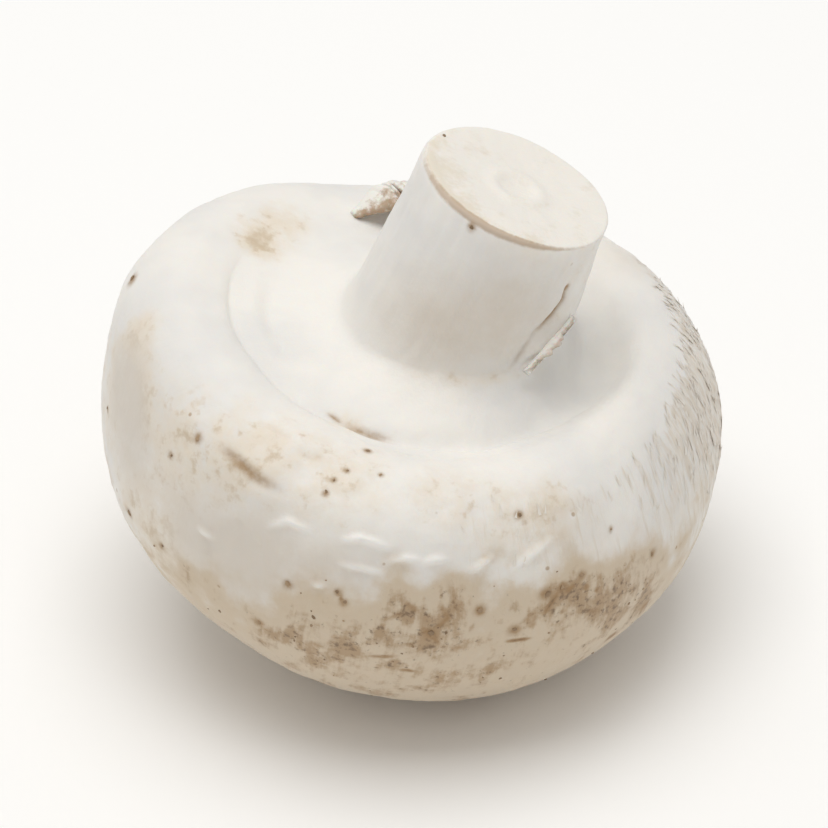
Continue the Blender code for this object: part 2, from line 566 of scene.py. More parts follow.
@dataclass(frozen=True)
class Fineness:
    """How many stretches each part of the outline is cut into, and the turn."""

    turn: int = 340
    crown: int = 92
    rim: int = 72
    margin: int = 20
    veil: int = 40
    stem: int = 34
    cut_edge: int = 4
    cut: int = 24
    crown_crowding: float = 1.5
    front_crowding: float = 0.5


@dataclass(frozen=True)
class Landmarks:
    """Where the outline changes, as lengths along it from the crown's pole."""

    widest: float
    crest: float
    margin: float
    foot: float
    top: float
    middle: float


@dataclass(frozen=True)
class Growth:
    """How the mushroom grew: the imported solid's own outline, and how it left the round."""

    cap_radius: float = 0.0245
    crown_depth: float = 0.0177
    crown_fullness: float = 2.16
    rim_height: float = 0.0104
    crest_radius: float = 0.0178
    margin_radius: float = 0.0154
    margin_drop: float = 0.0009
    veil_dip: float = 0.0007
    veil_leaving: float = 0.40
    veil_meeting: float = 0.05
    veil_climb: float = 0.0010
    stem_base_radius: float = 0.0084
    stem_cut_radius: float = 0.0077
    stem_foot_height: float = 0.0122
    cut_height: float = 0.0245
    cut_edge_radius: float = 0.0003
    rim_rise: float = 0.15
    rim_rise_azimuth: float = math.radians(-50)
    rim_sag: float = 0.095
    rim_sag_azimuth: float = math.radians(99)
    off_centre: Point = (-0.0016, 0.0002, 0.0)
    oval: float = 0.022
    oval_azimuth: float = math.radians(30)
    three_lobes: float = 0.018
    lobe_azimuth: float = math.radians(40)
    shoulder_spread: float = 0.032
    shoulder_rise: float = 0.08
    shoulder_azimuth: float = math.radians(139)
    shoulder_reach: float = math.radians(33)
    pivot_height: float = 0.0070
    stem_lean: tuple[float, float] = (math.radians(-6.0), math.radians(10.5))
    foot_skew: float = 0.0024
    foot_skew_azimuth: float = math.radians(10)
    lump_height: float = 0.00035
    lump_pitch: float = 0.011
    pocket_place: Point = (0.0118, -0.0015, 0.0105)
    pocket_reach: float = 0.0042
    pocket_depth: float = 0.0016
    tip_right: float = math.radians(11.5)
    tip_front: float = math.radians(6.0)
    flat_depth: float = 0.0009
    bridge_reach: float = 0.0031

    def stretches(self, fineness: Fineness) -> list[list[tuple[float, float]]]:
        """The half outline, part by part.

        Args:
            fineness: how finely each part is cut.

        Returns:
            Crown, rim, margin, veil, stem, cut edge and cut, each as (radius, height) points.
        """
        crown = ellipse_arc(
            (0, 0),
            (self.cap_radius, self.crown_depth),
            -90,
            0,
            fineness.crown,
            self.crown_fullness,
            fineness.crown_crowding,
        )
        crown[0] = (0, -self.crown_depth)
        rim_radii = (self.cap_radius - self.crest_radius, self.rim_height)
        rim = ellipse_arc((self.crest_radius, 0), rim_radii, 0, 90, fineness.rim)
        margin_centre = (self.crest_radius, self.rim_height - self.margin_drop)
        margin_radii = (self.crest_radius - self.margin_radius, self.margin_drop)
        margin = ellipse_arc(margin_centre, margin_radii, 90, 180, fineness.margin)
        edge = margin[-1]
        foot = (self.stem_base_radius, self.stem_foot_height)
        reach = edge[0] - foot[0]
        leaving = (edge[0] - self.veil_leaving * reach, edge[1] - self.veil_dip)
        meeting = (foot[0] + self.veil_meeting * reach, foot[1] - self.veil_climb)
        corners = (edge, leaving, meeting, foot)
        veil = [bezier(corners, i / fineness.veil) for i in range(fineness.veil + 1)]
        top = (self.stem_cut_radius, self.cut_height - self.cut_edge_radius)
        stem = [
            tuple(foot[k] + (top[k] - foot[k]) * i / fineness.stem for k in range(2))
            for i in range(fineness.stem + 1)
        ]
        edge_centre = (top[0] - self.cut_edge_radius, top[1])
        edge_radii = (self.cut_edge_radius, self.cut_edge_radius)
        cut_edge = ellipse_arc(edge_centre, edge_radii, 0, 90, fineness.cut_edge)
        cut = [(edge_centre[0] * (1 - i / fineness.cut), self.cut_height) for i in range(fineness.cut + 1)]
        return [crown, rim, margin, veil, stem, cut_edge, cut]

    def outline(self, fineness: Fineness) -> tuple[list[tuple[float, float, float]], Landmarks]:
        """The whole half outline, with the length along it at each point.

        Args:
            fineness: how finely each part is cut.

        Returns:
            (radius, height, length along) points, and where the outline changes.
        """
        points = []
        marks = []
        along = 0.0
        for stretch in self.stretches(fineness):
            for point in stretch:
                if points:
                    step = math.dist(point, points[-1][:2])
                    if step < SAME_PLACE:
                        continue
                    along += step
                points.append((*point, along))
            marks.append(along)
        widest, crest, margin, foot, top, _, middle = marks
        return points, Landmarks(widest, crest, margin, foot, top, middle)

    def healing(self, azimuth: float) -> float:
        """How far the margin has closed over into the veil at an azimuth: 0 is a crisp edge, 1 is none."""
        places = (-180, -150, -120, -60, -30, 150, 172, 180)
        shares = (0.35, 0.45, 0.75, 0.85, 1.0, 1.0, 0.4, 0.35)
        return float(np.interp(math.degrees(math.remainder(azimuth, math.tau)), places, shares))

    def healed(
        self, point: Vector, along: float, marks: Landmarks, bridge: tuple[tuple[float, float], ...]
    ) -> Vector:
        """Moves a point of the even form towards the smooth bridge that closes the margin over.

        Args:
            point: the point.
            along: its length along the outline.
            marks: where the outline changes.
            bridge: the four corners of the bridge's curve, as (radius, height).

        Returns:
            Where it grew.
        """
        share = (along - marks.margin) / (2 * self.bridge_reach) + 0.5
        if not 0 < share < 1:
            return point
        azimuth = math.atan2(point.y, point.x)
        radius, height = bezier(bridge, share)
        closed = Vector((radius * math.cos(azimuth), radius * math.sin(azimuth), height))
        return point.lerp(closed, self.healing(azimuth))

    def bridge(
        self, outline: list[tuple[float, float, float]], marks: Landmarks
    ) -> tuple[tuple[float, float], ...]:
        """The curve that leaves the outline before the margin and meets it again after.

        Args:
            outline: the outline's (radius, height, length along) points.
            marks: where the outline changes.

        Returns:
            The four corners of the curve, as (radius, height).
        """
        radii, heights, lengths = zip(*outline)
        nudge = 1e-4
        found = []
        for end in (marks.margin - self.bridge_reach, marks.margin + self.bridge_reach):
            places = (end - nudge, end, end + nudge)
            near = [[float(np.interp(place, lengths, row)) for row in (radii, heights)] for place in places]
            slope = [(near[2][k] - near[0][k]) / (2 * nudge) for k in range(2)]
            found.append((near[1], slope))
        pull = 2 * self.bridge_reach / 3
        (first, leaving), (last, meeting) = found
        return (
            tuple(first),
            tuple(first[k] + pull * leaving[k] for k in range(2)),
            tuple(last[k] - pull * meeting[k] for k in range(2)),
            tuple(last),
        )

    def skewed(self, point: Vector) -> Vector:
        """The veil climbs further up one side of the stem than the other."""
        share = 1 - smooth_step(self.stem_base_radius, self.margin_radius, math.hypot(point.x, point.y))
        share *= smooth_step(0.5 * self.pivot_height, self.stem_foot_height, point.z)
        share *= 1 - smooth_step(self.stem_foot_height, self.cut_height - self.cut_edge_radius, point.z)
        climb = self.foot_skew * math.cos(math.atan2(point.y, point.x) - self.foot_skew_azimuth)
        return point + Vector((0, 0, share * climb))

    def out_of_round(self, point: Vector) -> Vector:
        """The cap's plan is a little oval and three-lobed, with a shoulder, and its rim isn't level."""
        azimuth = math.atan2(point.y, point.x)
        cap_share = smooth_step(self.stem_base_radius, self.crest_radius, math.hypot(point.x, point.y))
        if point.z < 0:
            cap_share = 1.0
        turn = math.remainder(azimuth - self.shoulder_azimuth, math.tau)
        shoulder = math.exp(-((turn / self.shoulder_reach) ** 2))
        spread = self.oval * math.cos(2 * (azimuth - self.oval_azimuth))
        spread += self.three_lobes * math.cos(3 * (azimuth - self.lobe_azimuth))
        spread += self.shoulder_spread * shoulder
        rise = self.rim_rise * math.cos(azimuth - self.rim_rise_azimuth)
        rise -= self.rim_sag * math.cos(2 * (azimuth - self.rim_sag_azimuth))
        rise += self.shoulder_rise * shoulder
        height = point.z * (1 + rise * cap_share) if point.z > 0 else point.z
        wider = 1 + spread * cap_share
        opening = cap_share * smooth_step(0, self.rim_height, point.z)
        return Vector((point.x * wider, point.y * wider, height)) + Vector(self.off_centre) * opening

    def lumped(self, point: Vector, normal: Vector) -> Vector:
        """Broad, low lumps, with the pocket where the veil tore."""
        lump = self.lump_height * noise.noise(point / self.lump_pitch)
        away = (point - Vector(self.pocket_place)).length / self.pocket_reach
        return point + normal * (lump - self.pocket_depth * math.exp(-away * away))

    def leaning(self, point: Vector) -> Vector:
        """The stem leans, and the veil beside it goes part of the way with it."""
        near_stem = 1 - smooth_step(self.stem_base_radius, self.margin_radius, math.hypot(point.x, point.y))
        share = near_stem * smooth_step(0.5 * self.pivot_height, self.stem_foot_height, point.z)
        pivot = Vector((0, 0, self.pivot_height))
        turn = Matrix.Rotation(self.stem_lean[1] * share, 3, "Y")
        turn = turn @ Matrix.Rotation(self.stem_lean[0] * share, 3, "X")
        return pivot + turn @ (point - pivot)

    def tip(self) -> Matrix:
        """How the whole mushroom is tipped where it lies."""
        return Matrix.Rotation(self.tip_front, 4, "X") @ Matrix.Rotation(self.tip_right, 4, "Y")


# The mushroom itself --------------------------------------------------------------------------------


# Where the grains sit that are plain to see, and about how big each is, in millimetres.
GRAINS: tuple[tuple[Point, float], ...] = (
    ((-7.4, 20.0, 26.6), 0.22), ((3.6, 21.6, 25.4), 0.18), ((14.2, 15.4, 26.2), 0.2),
    ((-14.6, 18.6, 22.4), 0.24), ((19.8, 12.6, 21.0), 0.24), ((-16.2, -15.3, 27.2), 0.26),
    ((-18.5, -14.1, 24.8), 0.2), ((-3.4, -16.8, 27.1), 0.22), ((-6.5, -20.7, 25.9), 0.17),
    ((-4.9, -19.3, 27.0), 0.15), ((-5.9, -20.1, 26.6), 0.15), ((-2.4, -19.3, 26.6), 0.14),
    ((-9.5, -22.2, 18.6), 0.27), ((-5.7, -23.6, 18.8), 0.2), ((-5.1, -23.9, 18.0), 0.22),
    ((-22.1, -10.2, 16.5), 0.28), ((-19.3, -14.2, 16.3), 0.2), ((5.2, -23.3, 16.8), 0.3),
    ((-24.0, -3.4, 21.8), 0.2), ((-11.8, -20.5, 13.5), 0.3), ((8.2, -19.9, 23.3), 0.22),
    ((1.5, -24.1, 15.2), 0.36), ((18.7, -14.0, 15.3), 0.26), ((15.3, -16.9, 19.8), 0.16),
    ((10.4, -21.4, 16.9), 0.36), ((11.6, -20.8, 17.1), 0.28), ((13.0, -19.7, 17.5), 0.26),
    ((7.9, -22.4, 14.3), 0.34), ((2.5, 3.4, 42.8), 0.22), ((4.6, -7.2, 41.3), 0.22),
    ((-22.6, 2.4, 30.6), 0.34),
)


@dataclass(frozen=True)
class Fold:
    """A small ridge, or with a height below 0 a crease, that follows a few points, in millimetres."""

    path: tuple[Point, ...]
    breadth: float
    height: float
    browning: float = 0.0


@dataclass(frozen=True)
class Patch:
    """A soft round place on the skin, in millimetres, with how strong it is."""

    place: Point
    reach: float
    strength: float


class Spread:
    """Numbers at every vertex of a mesh, worked out together."""

    def __init__(
        self, form: bmesh.types.BMesh, azimuth: bmesh.types.BMLayerItem, along: bmesh.types.BMLayerItem
    ) -> None:
        """Reads the vertices.

        Args:
            form: the mesh, with its normals up to date.
            azimuth: the layer that holds each vertex's azimuth.
            along: the layer that holds its length along the outline.
        """
        form.verts.ensure_lookup_table()
        self.places = np.array([vertex.co for vertex in form.verts])
        self.azimuth = np.array([vertex[azimuth] for vertex in form.verts])
        self.along = np.array([vertex[along] for vertex in form.verts])

    def _snapped(self, place: Point) -> np.ndarray:
        """The vertex nearest to a place given in millimetres."""
        return self.places[np.argmin(np.linalg.norm(self.places - np.array(place) * MM, axis=1))]

    def near(self, place: Point, reach: float) -> np.ndarray:
        """A soft round spot about a place given in millimetres, 1 at its middle."""
        away = np.linalg.norm(self.places - self._snapped(place), axis=1)
        return np.exp(-((away / (reach * MM)) ** 2))

    def patched(self, patches: tuple[Patch, ...]) -> np.ndarray:
        """These patches, added up."""
        return sum(patch.strength * self.near(patch.place, patch.reach) for patch in patches)

    def near_path(self, path: tuple[Point, ...], breadth: float) -> np.ndarray:
        """A soft line through places given in millimetres, 1 along it and tapering to its ends."""
        best = np.full(len(self.places), np.inf)
        share = np.zeros(len(self.places))
        steps = len(path) - 1
        stops = [self._snapped(place) for place in path]
        for i, (first, last) in enumerate(zip(stops, stops[1:])):
            stretch = last - first
            t = np.clip((self.places - first) @ stretch / (stretch @ stretch), 0, 1)
            away = np.linalg.norm(self.places - first - t[:, None] * stretch, axis=1)
            closer = away < best
            best[closer] = away[closer]
            share[closer] = (i + t[closer]) / steps
        taper = np.sin(np.pi * np.clip(0.06 + 0.88 * share, 0, 1)) ** 0.7
        return taper * np.exp(-((best / (breadth * MM)) ** 2))

    def band(self, middle: float, breadth: float) -> np.ndarray:
        """A soft ring at a length along the outline, in metres."""
        return np.exp(-(((self.along - middle) / breadth) ** 2))

    def sector(self, middle: float, breadth: float) -> np.ndarray:
        """A soft sector about an azimuth, both in degrees."""
        turn = np.degrees(self.azimuth) - middle
        turn = (turn + 180) % 360 - 180
        return np.exp(-((turn / breadth) ** 2))

    def cloud(self, pitch: float, seed: float, octaves: int = 3) -> np.ndarray:
        """Cloudy noise around 0 at every vertex, with lumps of the pitch given in metres."""
        offset = Vector((seed, 2 * seed, -seed))
        return np.array([noise.fractal(Vector(p) / pitch + offset, 1.0, 2.0, octaves) for p in self.places])

    def threads(self, across: float, length: float, seed: float, octaves: int = 2) -> np.ndarray:
        """Noise drawn out along the outline: across is a share of the radius, length is in metres."""
        found = []
        for azimuth, along in zip(self.azimuth, self.along):
            place = Vector((math.cos(azimuth) / across, math.sin(azimuth) / across, along / length + seed))
            found.append(noise.fractal(place, 1.0, 2.0, octaves))
        return np.array(found)


def relax(form: bmesh.types.BMesh, verts: list[bmesh.types.BMVert], passes: int) -> None:
    """Smooths these vertices of a form, over and over.

    Args:
        form: the form they belong to.
        verts: the vertices to smooth.
        passes: how many times.
    """
    axes = {f"use_axis_{name}": True for name in "xyz"}
    for _ in range(passes):
        bmesh.ops.smooth_vert(form, verts=verts, factor=0.5, **axes)


def painted_numbers(mesh: bpy.types.Mesh, paint: Paint) -> np.ndarray:
    """The numbers painted on a mesh, one for each vertex."""
    numbers = np.zeros(len(mesh.vertices), np.float32)
    mesh.attributes[paint.value].data.foreach_get("value", numbers)
    return numbers


def rise_over(low: float, high: float, values: np.ndarray) -> np.ndarray:
    """0 where the values are below low, 1 above high, with a smooth rise between."""
    share = np.clip((values - low) / (high - low), 0, 1)
    return share * share * (3 - 2 * share)


@dataclass(frozen=True)
class Carving:
    """How far each kind of relief goes, and how fine it is.

    Lengths are in metres, but the pocket's place and reach are in millimetres, as a patch's are.
    """

    swell: float = 0.00012
    swell_pitch: float = 0.0045
    grain: float = 0.00004
    grain_pitch: float = 0.0012
    groove: float = 0.0006
    groove_inward: float = 0.0018
    groove_wander: float = 0.00022
    groove_pitch: float = 0.003
    lip: float = 0.0003
    channel: float = 0.00014
    pocket_place: Point = (14.5, 0.5, 24.2)
    pocket_reach: float = 4.5
    pocket_fill: float = 0.0009
    shelf: float = 0.00048
    dent: float = 0.00011
    dent_pitch: float = 0.0019
    scale: float = 0.00012
    stem_fibre: float = 0.00008
    dish: float = 0.0003
    ring: float = 0.00026
    hollow: float = 0.00022
    grit: float = 0.00006
    grit_pitch: float = 0.0016
    fringe: float = 0.0105
    fringe_sway: float = 0.0007
    fringe_tatter: float = 0.0011
    pole_reach: float = 0.0011
    pole_passes: int = 30
    broad_reach: float = 0.0026
    broad_passes: int = 26
    tight_reach: float = 0.0007
    tight_passes: int = 3


@dataclass
class Mushroom:
    """The whole mushroom as one closed, carved mesh, painted for its finish."""

    growth: Growth
    fineness: Fineness
    finish: SkinFinish
    carving: Carving = Carving()
    # A crease's browning darkens the crease: partly soiling, partly painted shade.
    folds: tuple[Fold, ...] = (
        Fold(((-9.4, 22.4, 21.0), (-7.6, 23.0, 21.6), (-5.8, 23.4, 21.2)), 0.32, 0.40),
        Fold(((-2.4, 24.0, 19.6), (-0.4, 24.2, 20.2)), 0.30, 0.38),
        Fold(((6.0, 23.2, 21.8), (7.8, 22.6, 22.2), (9.4, 21.8, 21.6)), 0.30, 0.36),
        Fold(((12.4, 18.6, 25.4), (10.8, 19.8, 25.2), (9.4, 20.4, 25.6)), 0.40, -0.20, 0.35),
        Fold(((-16.0, 16.0, 26.4), (-14.6, 17.4, 26.0)), 0.36, -0.18, 0.3),
        Fold(((-11.0, -21.0, 23.0), (-9.3, -21.5, 23.9), (-7.8, -22.1, 23.5)), 0.30, 0.42),
        Fold(((-16.4, -17.5, 20.3), (-15.2, -18.5, 20.0)), 0.30, 0.40),
        Fold(((-5.4, -22.8, 23.2), (-3.9, -22.9, 23.3), (-1.8, -23.1, 22.6)), 0.28, 0.50),
        Fold(((-5.6, -23.4, 21.2), (-3.9, -23.7, 21.0), (-2.3, -23.8, 20.8)), 0.28, 0.45),
        Fold(((-7.6, -23.2, 19.3), (-6.5, -23.4, 19.1)), 0.30, 0.42),
        Fold(((-1.9, -23.5, 21.7), (-0.4, -23.4, 21.8), (0.6, -23.3, 21.5)), 0.28, 0.36),
        Fold(((0.8, -23.3, 21.3), (1.8, -23.2, 21.5), (2.7, -23.0, 21.3)), 0.28, 0.36),
        Fold(((4.4, -22.9, 20.3), (6.0, -22.2, 21.1)), 0.28, 0.45),
        Fold(((7.5, -22.0, 19.9), (9.2, -21.0, 20.4), (10.6, -20.1, 21.2)), 0.40, 0.30),
        Fold(((-15.2, -18.2, 19.4), (-15.6, -17.6, 18.2)), 0.35, -0.2),
        Fold(((-14.3, -17.0, 27.1), (-13.0, -17.7, 27.0), (-12.3, -18.5, 26.4)), 0.32, -0.16, 0.25),
        Fold(((-12.6, -18.3, 26.6), (-11.3, -19.2, 25.9), (-9.9, -20.1, 25.6)), 0.50, -0.28, 0.45),
        Fold(((-11.8, -15.7, 28.9), (-10.4, -16.4, 28.6), (-9.1, -17.1, 28.3)), 0.28, -0.12, 0.14),
        Fold(((-8.5, -17.9, 27.9), (-7.8, -18.4, 27.6), (-6.8, -17.9, 27.8)), 0.36, -0.14, 0.25),
        Fold(((-6.6, -12.0, 27.4), (-5.3, -12.7, 27.0)), 0.30, -0.10, 0.55),
        Fold(((-5.6, -12.6, 27.0), (-3.5, -13.4, 26.5), (-1.8, -13.7, 26.1)), 0.34, -0.10, 0.28),
        Fold(
            ((12.1, -5.5, 34.8), (11.9, -5.4, 33.3), (10.9, -6.2, 32.4), (9.4, -7.3, 31.3)),
            0.36, -0.36, 0.75,
        ),
        Fold(((9.7, -7.1, 31.5), (8.2, -7.6, 29.4), (7.6, -7.9, 28.3)), 0.40, -0.26, 0.32),
        Fold(((8.6, -7.6, 28.8), (10.2, -6.6, 30.1), (11.2, -5.6, 31.0), (12.2, -4.6, 31.6)), 0.75, 0.70),
    )
    strokes: tuple[Fold, ...] = (
        Fold(((-3.4, 23.6, 12.6), (-1.6, 23.8, 12.9)), 0.30, 0.0, 0.8),
        Fold(((9.6, 22.0, 14.2), (11.2, 21.2, 13.6)), 0.28, 0.0, 0.9),
        Fold(((-12.2, 20.6, 15.0), (-11.0, 21.3, 15.8)), 0.34, 0.0, 0.8),
        Fold(((21.6, 9.0, 14.0), (22.2, 7.6, 14.8)), 0.34, 0.0, 0.7),
        Fold(((12.1, -5.4, 34.7), (12.0, -5.5, 33.9)), 0.34, 0.0, 0.9),
        Fold(
            ((-14.6, -16.8, 27.6), (-13.4, -17.8, 27.0), (-12.2, -18.7, 26.3), (-9.7, -20.1, 25.5)),
            0.75, 0.0, 0.6,
        ),
        Fold(((-7.9, -18.4, 27.5), (-6.6, -18.2, 27.6)), 0.6, 0.0, 0.3),
        Fold(((-5.2, -12.8, 26.9), (-3.4, -13.4, 26.5), (-1.6, -13.7, 26.1)), 0.42, 0.0, 0.5),
        Fold(((-12.0, 4.4, 29.6), (-11.8, 3.0, 29.5)), 0.6, 0.0, 0.16),
        Fold(((4.9, -1.9, 42.0), (6.6, -4.2, 41.2)), 0.9, 0.0, 0.16),
        Fold(((6.2, -2.4, 41.4), (7.6, -3.0, 40.8)), 0.5, 0.0, 0.16),
        Fold(((3.2, -0.4, 42.6), (4.6, -3.4, 42.0)), 0.7, 0.0, 0.14),
        Fold(((0.8, -24.3, 16.0), (2.1, -24.0, 13.9)), 0.24, 0.0, 1.1),
        Fold(((-2.2, -24.3, 16.5), (-0.5, -24.2, 17.1)), 0.30, 0.0, 0.6),
        Fold(((-0.6, -24.2, 18.2), (0.8, -24.3, 17.2)), 0.38, 0.0, 0.55),
        Fold(((2.2, -24.0, 18.0), (2.7, -24.0, 16.5), (1.5, -24.1, 15.3)), 0.32, 0.0, 0.8),
        Fold(((2.7, -23.5, 20.0), (3.6, -23.8, 16.2)), 0.45, 0.0, 0.45),
        Fold(((5.0, -23.4, 17.2), (5.4, -23.4, 16.3)), 0.28, 0.0, 1.1),
        Fold(((4.8, -23.5, 15.6), (4.4, -23.5, 14.9)), 0.24, 0.0, 0.6),
        Fold(((-0.6, -24.1, 14.1), (0.3, -24.1, 13.9)), 0.34, 0.0, 0.55),
        Fold(((3.3, -23.6, 13.6), (4.0, -23.4, 13.1)), 0.28, 0.0, 0.5),
        Fold(((7.3, -22.4, 13.2), (9.2, -21.8, 12.8)), 0.26, 0.0, 1.2),
        Fold(((-3.4, -23.6, 12.7), (-1.2, -23.8, 12.7)), 0.30, 0.0, 0.8),
        Fold(((-1.0, -23.2, 11.0), (0.4, -23.0, 10.7)), 0.32, 0.0, 1.0),
        Fold(((-5.9, -23.6, 19.1), (-5.1, -23.9, 17.7)), 0.22, 0.0, 0.9),
        Fold(((-9.9, -22.3, 18.6), (-9.3, -22.3, 18.4)), 0.30, 0.0, 0.9),
        Fold(((-12.6, -20.0, 13.4), (-11.2, -21.0, 13.7)), 0.30, 0.0, 0.6),
        Fold(((-8.7, -22.7, 15.9), (-7.8, -22.8, 16.2)), 0.40, 0.0, 0.45),
        Fold(((-7.9, -22.5, 13.2), (-6.6, -22.9, 12.9)), 0.38, 0.0, 0.55),
        Fold(((10.2, -21.6, 15.2), (11.3, -21.1, 16.8)), 0.32, 0.0, 1.2),
        Fold(((11.7, -20.9, 16.3), (12.7, -20.3, 17.0)), 0.28, 0.0, 0.9),
        Fold(((13.3, -19.8, 16.5), (13.8, -19.6, 16.1)), 0.34, 0.0, 1.0),
        Fold(((14.1, -19.2, 15.8), (14.6, -19.0, 15.4)), 0.30, 0.0, 0.9),
        Fold(((7.9, -22.4, 14.5), (10.0, -21.5, 16.1)), 0.50, 0.0, 0.45),
        Fold(((11.4, -21.0, 15.0), (12.0, -20.8, 14.6)), 0.34, 0.0, 0.6),
        Fold(((13.4, -19.7, 14.2), (14.6, -18.8, 13.0)), 0.60, 0.0, 0.55),
        Fold(((14.9, -15.9, 8.2), (15.9, -14.8, 8.4)), 0.60, 0.0, 1.0),
        Fold(((17.9, -13.3, 9.3), (18.7, -12.2, 9.8)), 0.40, 0.0, 1.0),
        Fold(((19.1, -13.3, 14.0), (19.6, -12.8, 14.1)), 0.36, 0.0, 0.8),
        Fold(((12.3, -16.9, 23.9), (13.3, -16.9, 22.8), (14.5, -16.6, 21.9)), 0.24, 0.0, 0.3),
        Fold(((8.2, -20.1, 22.7), (8.9, -20.0, 22.6)), 0.32, 0.0, 0.4),
    )
    # Patches of painted shade, where the band below the shoulder, the left edge, the stem's front and the
    # rim are in shade.
    painted_shade_patches: tuple[Patch, ...] = (
        Patch((-12.5, -20.5, 20.0), 4.2, 0.9), Patch((-6.0, -23.4, 19.6), 3.6, 0.7),
        Patch((-17.0, -16.5, 20.0), 3.6, 0.5), Patch((-22.4, -6.5, 26.0), 4.2, 0.9),
        Patch((-21.4, -10.0, 22.0), 4.0, 0.5), Patch((-14.0, -18.0, 14.5), 5.0, 0.5),
        Patch((13.0, -19.0, 20.0), 4.0, 0.35), Patch((2.5, -8.6, 32.5), 5.0, 0.6),
        Patch((8.5, -8.6, 34.5), 5.0, 0.6), Patch((-2.0, -6.5, 33.0), 4.0, 0.25),
        Patch((17.5, 11.0, 26.5), 4.0, 0.5),
    )
    warm_patches: tuple[Patch, ...] = (
        Patch((-12.0, 7.2, 30.0), 1.9, 1.0), Patch((-12.8, 8.4, 30.6), 1.6, 0.6),
        Patch((-10.2, 10.6, 30.2), 2.4, 0.7), Patch((-21.4, -4.8, 29.0), 2.2, 1.0),
        Patch((-21.0, -9.0, 26.8), 2.4, 1.0), Patch((-23.3, -4.8, 24.5), 3.6, 0.7),
        Patch((-17.6, -14.4, 26.0), 4.4, 0.65), Patch((-12.0, -17.5, 27.2), 3.8, 0.7),
        Patch((-5.8, -19.6, 26.8), 4.4, 0.55), Patch((3.0, -20.4, 25.2), 3.6, 0.4),
        Patch((8.0, -20.2, 23.0), 3.0, 0.5), Patch((11.0, -18.6, 23.1), 2.4, 0.55),
        # The patches at (-18.5, -15.5, 14.0) and (-20.8, -12.0, 17.5), low on the left, are a painted
        # reflection of warm light.
        Patch((-4.8, -12.9, 26.8), 1.6, 0.4), Patch((-18.5, -15.5, 14.0), 5.0, 0.7),
        Patch((-20.8, -12.0, 17.5), 3.0, 0.5),
    )
    stain_patches: tuple[Patch, ...] = (
        Patch((0.2, -24.2, 17.2), 2.6, 0.75), Patch((2.6, -23.8, 16.0), 2.4, 0.65),
        Patch((2.9, -23.5, 19.4), 1.3, 0.4), Patch((9.4, -21.9, 15.8), 2.4, 0.55),
        Patch((12.8, -20.0, 16.4), 2.4, 0.75), Patch((15.5, -18.0, 14.4), 3.4, 0.75),
        Patch((18.4, -13.6, 12.0), 3.4, 0.7), Patch((-9.0, -21.8, 14.6), 4.5, 0.4),
        Patch((-4.5, -23.4, 15.0), 4.0, 0.35), Patch((-15.0, -17.4, 14.0), 3.5, 0.25),
        Patch((-10.0, 22.0, 14.0), 3.4, 0.65), Patch((8.0, 22.5, 15.5), 3.0, 0.6),
        Patch((20.5, 8.0, 13.5), 3.4, 0.55), Patch((-22.5, 6.0, 15.0), 3.0, 0.5),
    )

    def build(self) -> tuple[bpy.types.Object, BVHTree]:
        """Grows, carves and paints the mushroom.

        Returns:
            The object, and a tree of its surface for what is set on it.
        """
        form = bmesh.new()
        azimuth = form.verts.layers.float.new("azimuth")
        along = form.verts.layers.float.new("along")
        marks = self._turn(form, azimuth, along)
        self._grow(form)
        self._set_down(form)
        form.normal_update()
        spread = Spread(form, azimuth, along)
        relief = self._relief(spread, marks)
        for vertex, height in zip(form.verts, relief):
            vertex.co += vertex.normal * float(height)
            vertex.co.z = max(vertex.co.z, 0.0)
        self._soften(form, spread, marks)
        self._even_poles(form, spread, marks)
        bmesh.ops.recalc_face_normals(form, faces=form.faces)
        form.normal_update()
        surface = BVHTree.FromBMesh(form)
        mesh = bpy.data.meshes.new("mushroom_flesh")
        form.to_mesh(mesh)
        form.free()
        self._paint(mesh, spread, marks)
        mesh.shade_smooth()
        mesh.materials.append(self.finish.material())
        whole = bpy.data.objects.new("mushroom_flesh", mesh)
        bpy.context.scene.collection.objects.link(whole)
        return whole, surface

    def _turn(
        self, form: bmesh.types.BMesh, azimuth: bmesh.types.BMLayerItem, along: bmesh.types.BMLayerItem
    ) -> Landmarks:
        """Spins the outline into an even, closed form, with its steps closer together at the front.

        Args:
            form: the empty mesh to fill.
            azimuth: the layer that takes each vertex's azimuth.
            along: the layer that takes its length along the outline.

        Returns:
            Where the outline changes.
        """
        outline, marks = self.growth.outline(self.fineness)
        bridge = self.growth.bridge(outline, marks)
        points = []
        for radius, height, length in outline:
            point = form.verts.new((radius, 0, height))
            point[along] = length
            points.append(point)
        edges = [form.edges.new(pair) for pair in zip(points, points[1:])]
        bmesh.ops.spin(
            form,
            geom=points + edges,
            cent=(0, 0, 0),
            axis=(0, 0, 1),
            dvec=(0, 0, 0),
            angle=math.tau,
            steps=self.fineness.turn,
            use_merge=True,
        )
        bmesh.ops.remove_doubles(form, verts=form.verts, dist=1e-6)
        bmesh.ops.recalc_face_normals(form, faces=form.faces)
        for vertex in form.verts:
            even = math.atan2(vertex.co.y, vertex.co.x)
            turned = even - self.fineness.front_crowding * math.sin(even + math.pi / 2)
            radius = math.hypot(vertex.co.x, vertex.co.y)
            vertex.co.x = radius * math.cos(turned)
            vertex.co.y = radius * math.sin(turned)
            vertex[azimuth] = turned
            vertex.co = self.growth.healed(vertex.co, vertex[along], marks, bridge)
        return marks

    def _grow(self, form: bmesh.types.BMesh) -> None:
        """Moves each point of the even form to where it really grew."""
        for vertex in form.verts:
            vertex.co = self.growth.out_of_round(self.growth.skewed(vertex.co))
        form.normal_update()
        for vertex in form.verts:
            vertex.co = self.growth.lumped(vertex.co, vertex.normal)
        for vertex in form.verts:
            vertex.co = self.growth.leaning(vertex.co)

